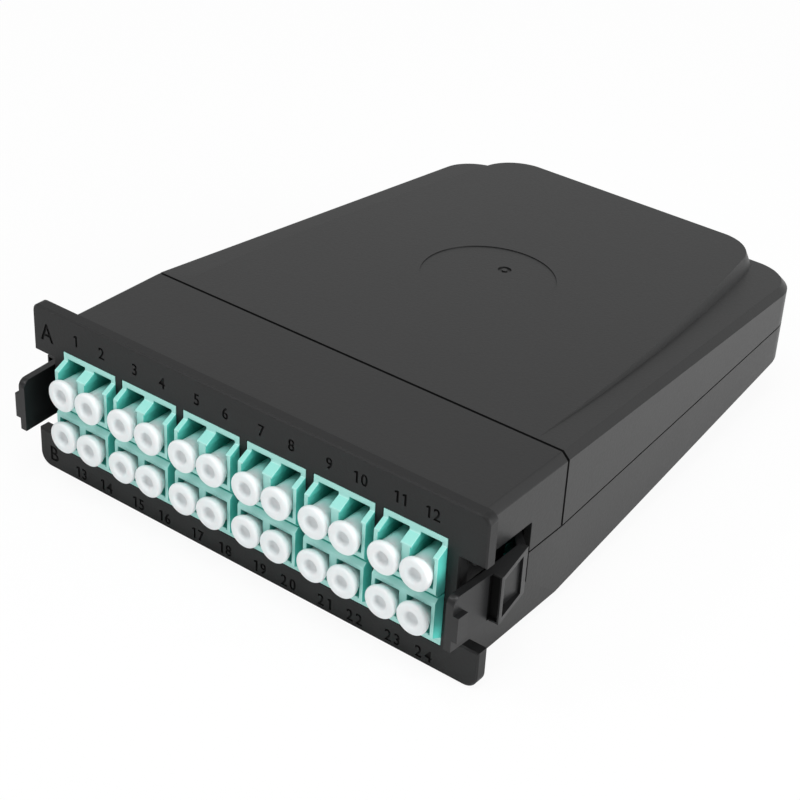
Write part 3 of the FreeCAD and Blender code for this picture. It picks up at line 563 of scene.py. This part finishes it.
def outline_of(text):
    """The solid of one character, one unit high, its lower left corner at zero."""
    words = bpy.data.curves.new("words", "FONT")
    words.body = text
    words.extrude = 0.5
    words.offset = FATTEN
    words.resolution_u = 4
    holder = add("words", words)
    shape = bpy.data.meshes.new_from_object(
        holder.evaluated_get(bpy.context.evaluated_depsgraph_get()))
    bpy.data.objects.remove(holder)
    low = min(v.co.y for v in shape.vertices)
    left = min(v.co.x for v in shape.vertices)
    grow = 1 / (max(v.co.y for v in shape.vertices) - low)
    corners = [((v.co.x - left) * grow, (v.co.y - low) * grow, v.co.z) for v in shape.vertices]
    return corners, [tuple(face.vertices) for face in shape.polygons]


glyphs = {letter: outline_of(letter) for letter in "023456789AB"}
glyphs["1"] = slab([(0.26, 0), (0.26 + STROKE, 0), (0.26 + STROKE, 1), (0.3, 1), (0.06, 0.88),
                    (0.06, 0.74), (0.26, 0.83)])
print(len(glyphs), "characters")

# %% [markdown]
# ## Numbers and letters in the faceplate
# Every character is scaled to its real height and stood up in the plane of the faceplate, with
# its back in the plastic and its front ahead of it.  The mould's strokes are bold.  The font's
# outlines could be fattened, but fattened that far they cross themselves.  So each character is
# used twice, a little to the left and a little to the right, and both are cut out at once.

# %% Sink the numbers
SUNK, AHEAD, BOLD = 0.22 * MM, 0.5 * MM, 0.04 * MM
NARROW, GAP = 0.9, 0.3                 # share of the font's width, and space in heights
ROW, MIDDLE = 12, 2.5                  # ports in a row, and the middle of its six columns
COLUMN, PORT = 14.0 * MM, 3.125 * MM   # columns apart, and a port from its column's middle
UPPER, LOWER = 12.5 * MM, -14.7 * MM   # where the rows' numbers stand


def text_solids(text, height, x, z):
    """The characters of a number, upright in the faceplate, centred on x and standing on z."""
    widths = [max(u for u, v, d in glyphs[letter][0]) * NARROW for letter in text]
    pen = -(sum(widths) + GAP * (len(text) - 1)) / 2
    parts = []
    for letter, width in zip(text, widths):
        corners, faces = glyphs[letter]
        for push in (-BOLD, BOLD):
            stood = [(x + push + (pen + u * NARROW) * height * MM,
                      FACE + (SUNK if d < 0 else -AHEAD),
                      z + v * height * MM) for u, v, d in corners]
            parts.append((stood, faces))
        pen += width + GAP
    return parts


texts = []
for port in range(2 * ROW):
    column, second = divmod(port % ROW, 2)
    place = (column - MIDDLE) * COLUMN + (PORT if second else -PORT)
    stand = SPLIT + (UPPER if port < ROW else LOWER)
    texts += text_solids(str(port + 1), height=2.2, x=place, z=stand)
texts += text_solids("A", height=3.4, x=-45.1 * MM, z=SPLIT + 10.8 * MM)
texts += text_solids("B", height=3.0, x=-44.8 * MM, z=SPLIT - 14.0 * MM)
# the cut faces of the numbers take the near-black painted shade
numbers = joined("numbers", texts, near_black_shade)
dress("faceplate", face_black_painted_shade, "cassette", width=0.22, cutters=[numbers],
      overlap=True)
print(len(texts), "solids cut out of the faceplate")

# %% [markdown]
# ## Moulding marks on the roof
# On the raised field lies a wide, very shallow round recess, and near its middle a small ring
# round the gate, where the plastic came in.  A bump would show them only as shading, so they
# are cut too.  Both follow the slope of the field, which two plumb lines onto the roof give.

# %% Cut the recess and the gate ring
PLUMB = 0.05                           # start of a plumb line above the faceplate, in metres


def roof_at(x, y):
    """The point of the roof under a plumb line, y millimetres behind the faceplate's front."""
    start = Vector((x * MM, FACE + y * MM, face_high.z + PLUMB))
    _, spot, _, _ = nodes["rear_cover"].ray_cast(start, Vector((0, 0, -1)))
    return nodes["rear_cover"].matrix_world @ spot


fall = roof_at(0, 90) - roof_at(0, 50)  # along the middle of the raised field
SLOPE = math.atan2(fall.z, fall.y)


def tube_cut(x, y, outer, inner, depth, flats):
    """A disc, or a ring where inner is not zero, that reaches a little into the roof."""
    tilt = Matrix.Rotation(SLOPE, 3, "X")
    spot = roof_at(x, y)
    top = 0.5                          # sticks out of the roof, in mm
    rings = [(outer, -depth), (outer, top)]
    if inner:
        rings += [(inner, top), (inner, -depth)]
    corners = [tuple(spot + tilt @ Vector((r * math.cos(math.tau * k / flats),
                                           r * math.sin(math.tau * k / flats), z)) * MM)
               for r, z in rings for k in range(flats)]
    faces = []
    for row in range(len(rings) if inner else 1):
        a = row * flats
        b = (row + 1) % len(rings) * flats
        for k in range(flats):
            after = (k + 1) % flats
            faces.append((a + k, a + after, b + after, b + k))
    if not inner:
        faces.append(tuple(range(flats - 1, -1, -1)))
        faces.append(tuple(range(flats, 2 * flats)))
    return corners, faces


recess = tube_cut(x=-0.5, y=69, outer=12.8, inner=0, depth=0.16, flats=96)
gate = tube_cut(x=0, y=73.7, outer=1.3, inner=0.55, depth=0.45, flats=32)
dress("rear_cover", housing_black, "cassette", width=0.16,
      cutters=[joined("recess", [recess], housing_black),
               joined("gate", [gate], housing_black)])
print("roof falls", round(math.degrees(SLOPE), 2), "degrees")

# %% [markdown]
# ## Front cover and tray
# The front cover ends at a straight seam.  Two mouldings never meet exactly, so such a seam is
# given a shadow gap: a narrow step along the edge of one of them, which turns any error into an
# even dark line.  A dark stripe in the material would be quicker, but it has no depth in a
# close view.  So the step is cut over the roof and down both sides, and its faces take the
# near-black finish of the sunk numbers, which paints shade into it.  The tray below closes on
# both covers and needs only its softened edges.

# %% Dress the front cover and the tray
SEAM, ROOF, SIDE = 26.85, 14.1, 45.1   # behind the face, above the split, from the middle
STEP = (SEAM - 0.25, SEAM + 0.05)      # the shadow gap, and a little past the edge
DEEP, PAST = 0.9, 1                    # depth of the step, and how far its cutters stick out

groove = [box_cut((-SIDE - PAST, SIDE + PAST), STEP, (ROOF - DEEP, ROOF + PAST))]
groove += [box_cut((SIDE - DEEP, SIDE + PAST), STEP, (-PAST, ROOF + PAST), sign)
           for sign in (-1, 1)]
# the step's faces take the near-black painted shade
dress("front_cover", housing_black, "cassette", width=0.16,
      cutters=[joined("groove", [box], near_black_shade) for box in groove])
dress("base_tray", housing_black, "cassette", width=0.16)
print("shadow gap", round(SEAM - STEP[0], 2), "mm wide")

# %% [markdown]
# ## Adapters, levers, rear ports and screws
# The construction already has the keyways of the adapters, the finger plates and hooked catches
# of the levers, and the rear ports with their caps.  They could be built again with finer
# details, but a copy with softened edges shows them well.  Only the catches get something more:
# a hollow in the front face, which the mould leaves to keep the wall thin, its faces in the
# near-black finish that paints shade into it.

# %% Dress the other pieces
HOLLOW = (46.95, 48.9), (3.0, 4.2), (-3.9, 4.6)    # across, behind the face, from the split

for i in range(1, 13):
    dress("lc_adapter_%02d" % i, aqua, "cassette", width=0.12)
for side, sign in (("left", -1), ("right", 1)):
    # the hollow's faces take the near-black painted shade
    hollow = joined("hollow", [box_cut(*HOLLOW, sign)], near_black_shade)
    dress("latch_" + side, lever_black_painted_shade, "lever_" + side, width=0.2,
          cutters=[hollow])
for tag in "ab":
    dress("mpo_adapter_" + tag, lever_black_painted_shade, "cassette", width=0.2)
    dress("mpo_cap_" + tag, lever_black_painted_shade, "rear_cap_" + tag, width=0.3)
dress("cover_screws", zinc, "cassette", width=0.1)
print(len(made), "pieces dressed")

# %% [markdown]
# ## The lamps
# Black plastic is mostly seen by what it mirrors, so the lamps are soft and of different sizes.
# The key lamp hangs above the ports and a little ahead of them.  The widest one stands low on
# the right, for the side wall.  A small one at the upper left draws a thin bright line along
# the edges that face it.  A bright sky all round would be simpler, but it gives every face the
# same grey.

# %% Hang the lamps
def soft_lamp(name, spot, size, power):
    """A round lamp that shines at AIM; size in metres, power in watts."""
    data = bpy.data.lights.new(name, "AREA")
    data.shape = "DISK"
    data.size = size
    data.energy = power
    lamp = add(name, data)
    lamp.location = spot
    lamp.rotation_mode = "QUATERNION"
    lamp.rotation_quaternion = (AIM - Vector(spot)).to_track_quat("-Z", "Y")
    return lamp


lamps = [soft_lamp("key_lamp", (0.05, -0.22, 0.85), size=0.45, power=3.2),
         soft_lamp("edge_lamp", (-0.42, -0.46, 0.62), size=0.16, power=0.8),
         soft_lamp("right_lamp", (0.83, 0.02, 0.24), size=0.7, power=7.4)]
print(round(sum(lamp.data.energy for lamp in lamps), 1), "watts in", len(lamps), "lamps")

# %% [markdown]
# ## The room and the floor
# The room is pale.  What the camera sees of it, straight or through clear plastic, is plain
# white, and mirrors see it less bright.  The rest of its light only fills the shadows.  The
# floor is a matt pale plane just below the object.  A brighter light would turn it white as
# well, but the object would be too bright then.  So the camera sees most of the floor as plain
# white, and what is left of its own shading keeps the soft shadow.

# %% Build the room
MIRRORED, FILL = 0.24, 0.40            # more in mirrors, and the light that is everywhere
PLAIN = 0.92                           # share of plain white in the floor
HALF_FLOOR, BELOW = 4.0, 0.02 * MM     # half its width, and its distance below the object

world = bpy.data.worlds.new("pale_room")
bpy.context.scene.world = world
world.use_nodes = True
room = Tree(world.node_tree)
seen = room.node("ShaderNodeLightPath", out="Is Camera Ray")
bright = seen + seen.output("Is Transmission Ray")
strength = bright + seen.output("Is Glossy Ray") * MIRRORED + FILL
backdrop = room.tree.nodes["Background"]
backdrop.inputs["Color"].default_value = (1, 1, 1, 1)
room.tree.links.new(room.node("ShaderNodeClamp", Value=strength).socket,
                    backdrop.inputs["Strength"])

level = cad_box[0].z - BELOW
floor_mesh = bpy.data.meshes.new("floor")
floor_mesh.from_pydata([(x * HALF_FLOOR, y * HALF_FLOOR, level)
                        for x, y in ((-1, -1), (1, -1), (1, 1), (-1, 1))], [], [(0, 1, 2, 3)])
floor = add("floor", floor_mesh)
pale = Finish("pale_floor", Base_Color=(0.9, 0.9, 0.9, 1), Roughness=0.9,
              Specular_IOR_Level=0.1)
share = pale.node("ShaderNodeLightPath", out="Is Camera Ray") * PLAIN
glow = pale.node("ShaderNodeEmission", Strength=1.0)
blend = pale.node("ShaderNodeMixShader", _0=share,
                  _1=Signal(pale.tree, pale.shader.outputs[0]), _2=glow)
pale.tree.links.new(blend.socket, pale.tree.nodes["Material Output"].inputs["Surface"])
floor_mesh.materials.append(pale.material)
bpy.context.scene.view_settings.view_transform = "Standard"
print("floor", 2 * HALF_FLOOR, "m wide at", round(level / MM, 2), "mm")
